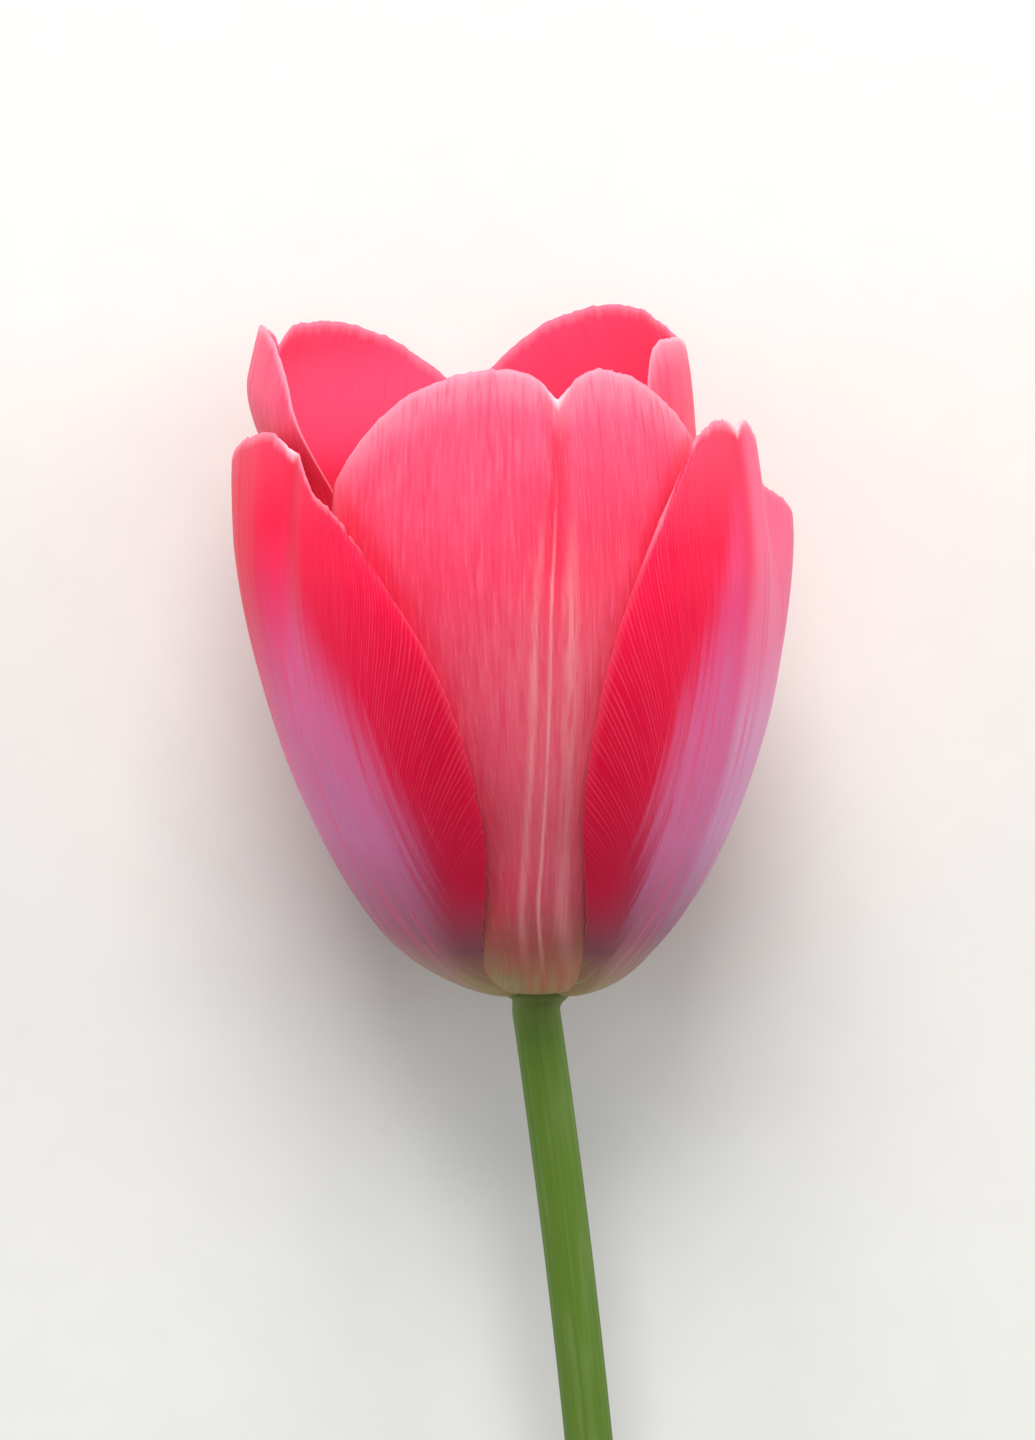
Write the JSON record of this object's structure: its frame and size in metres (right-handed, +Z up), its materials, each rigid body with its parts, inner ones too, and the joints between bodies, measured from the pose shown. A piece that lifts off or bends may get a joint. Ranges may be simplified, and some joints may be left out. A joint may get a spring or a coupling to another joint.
{
  "type": "tulip flower",
  "caption": "A single cut tulip lying down: a tall cup-shaped coral pink bloom with stamens and pistil inside, on a short leafless green stem.",
  "frame": {"origin": "middle of the flat spot under the back petal, where the bloom rests on the table", "axes": "+Y along the flower from the cut end to the bloom's mouth, +Z up, away from the table, +X to the flower's right"},
  "size_m": [0.0699, 0.2353, 0.0688],
  "materials": {
    "petal_outer": "satin",
    "petal_inner": "satin",
    "stem": "satin",
    "filament": "satin",
    "anther": "matte",
    "ovary": "satin",
    "stigma": "matte"
  },
  "bodies": {
    "root": {"petal_outer_left": "petal_outer", "petal_outer_right": "petal_outer", "petal_outer_back": "petal_outer", "petal_inner_front": "petal_inner", "petal_inner_left": "petal_inner", "petal_inner_right": "petal_inner", "stem": "stem", "filament_1": "filament", "filament_2": "filament", "filament_3": "filament", "filament_4": "filament", "filament_5": "filament", "filament_6": "filament", "anther_1": "anther", "anther_2": "anther", "anther_3": "anther", "anther_4": "anther", "anther_5": "anther", "anther_6": "anther", "ovary": "ovary", "stigma": "stigma"}
  },
  "joints": []
}
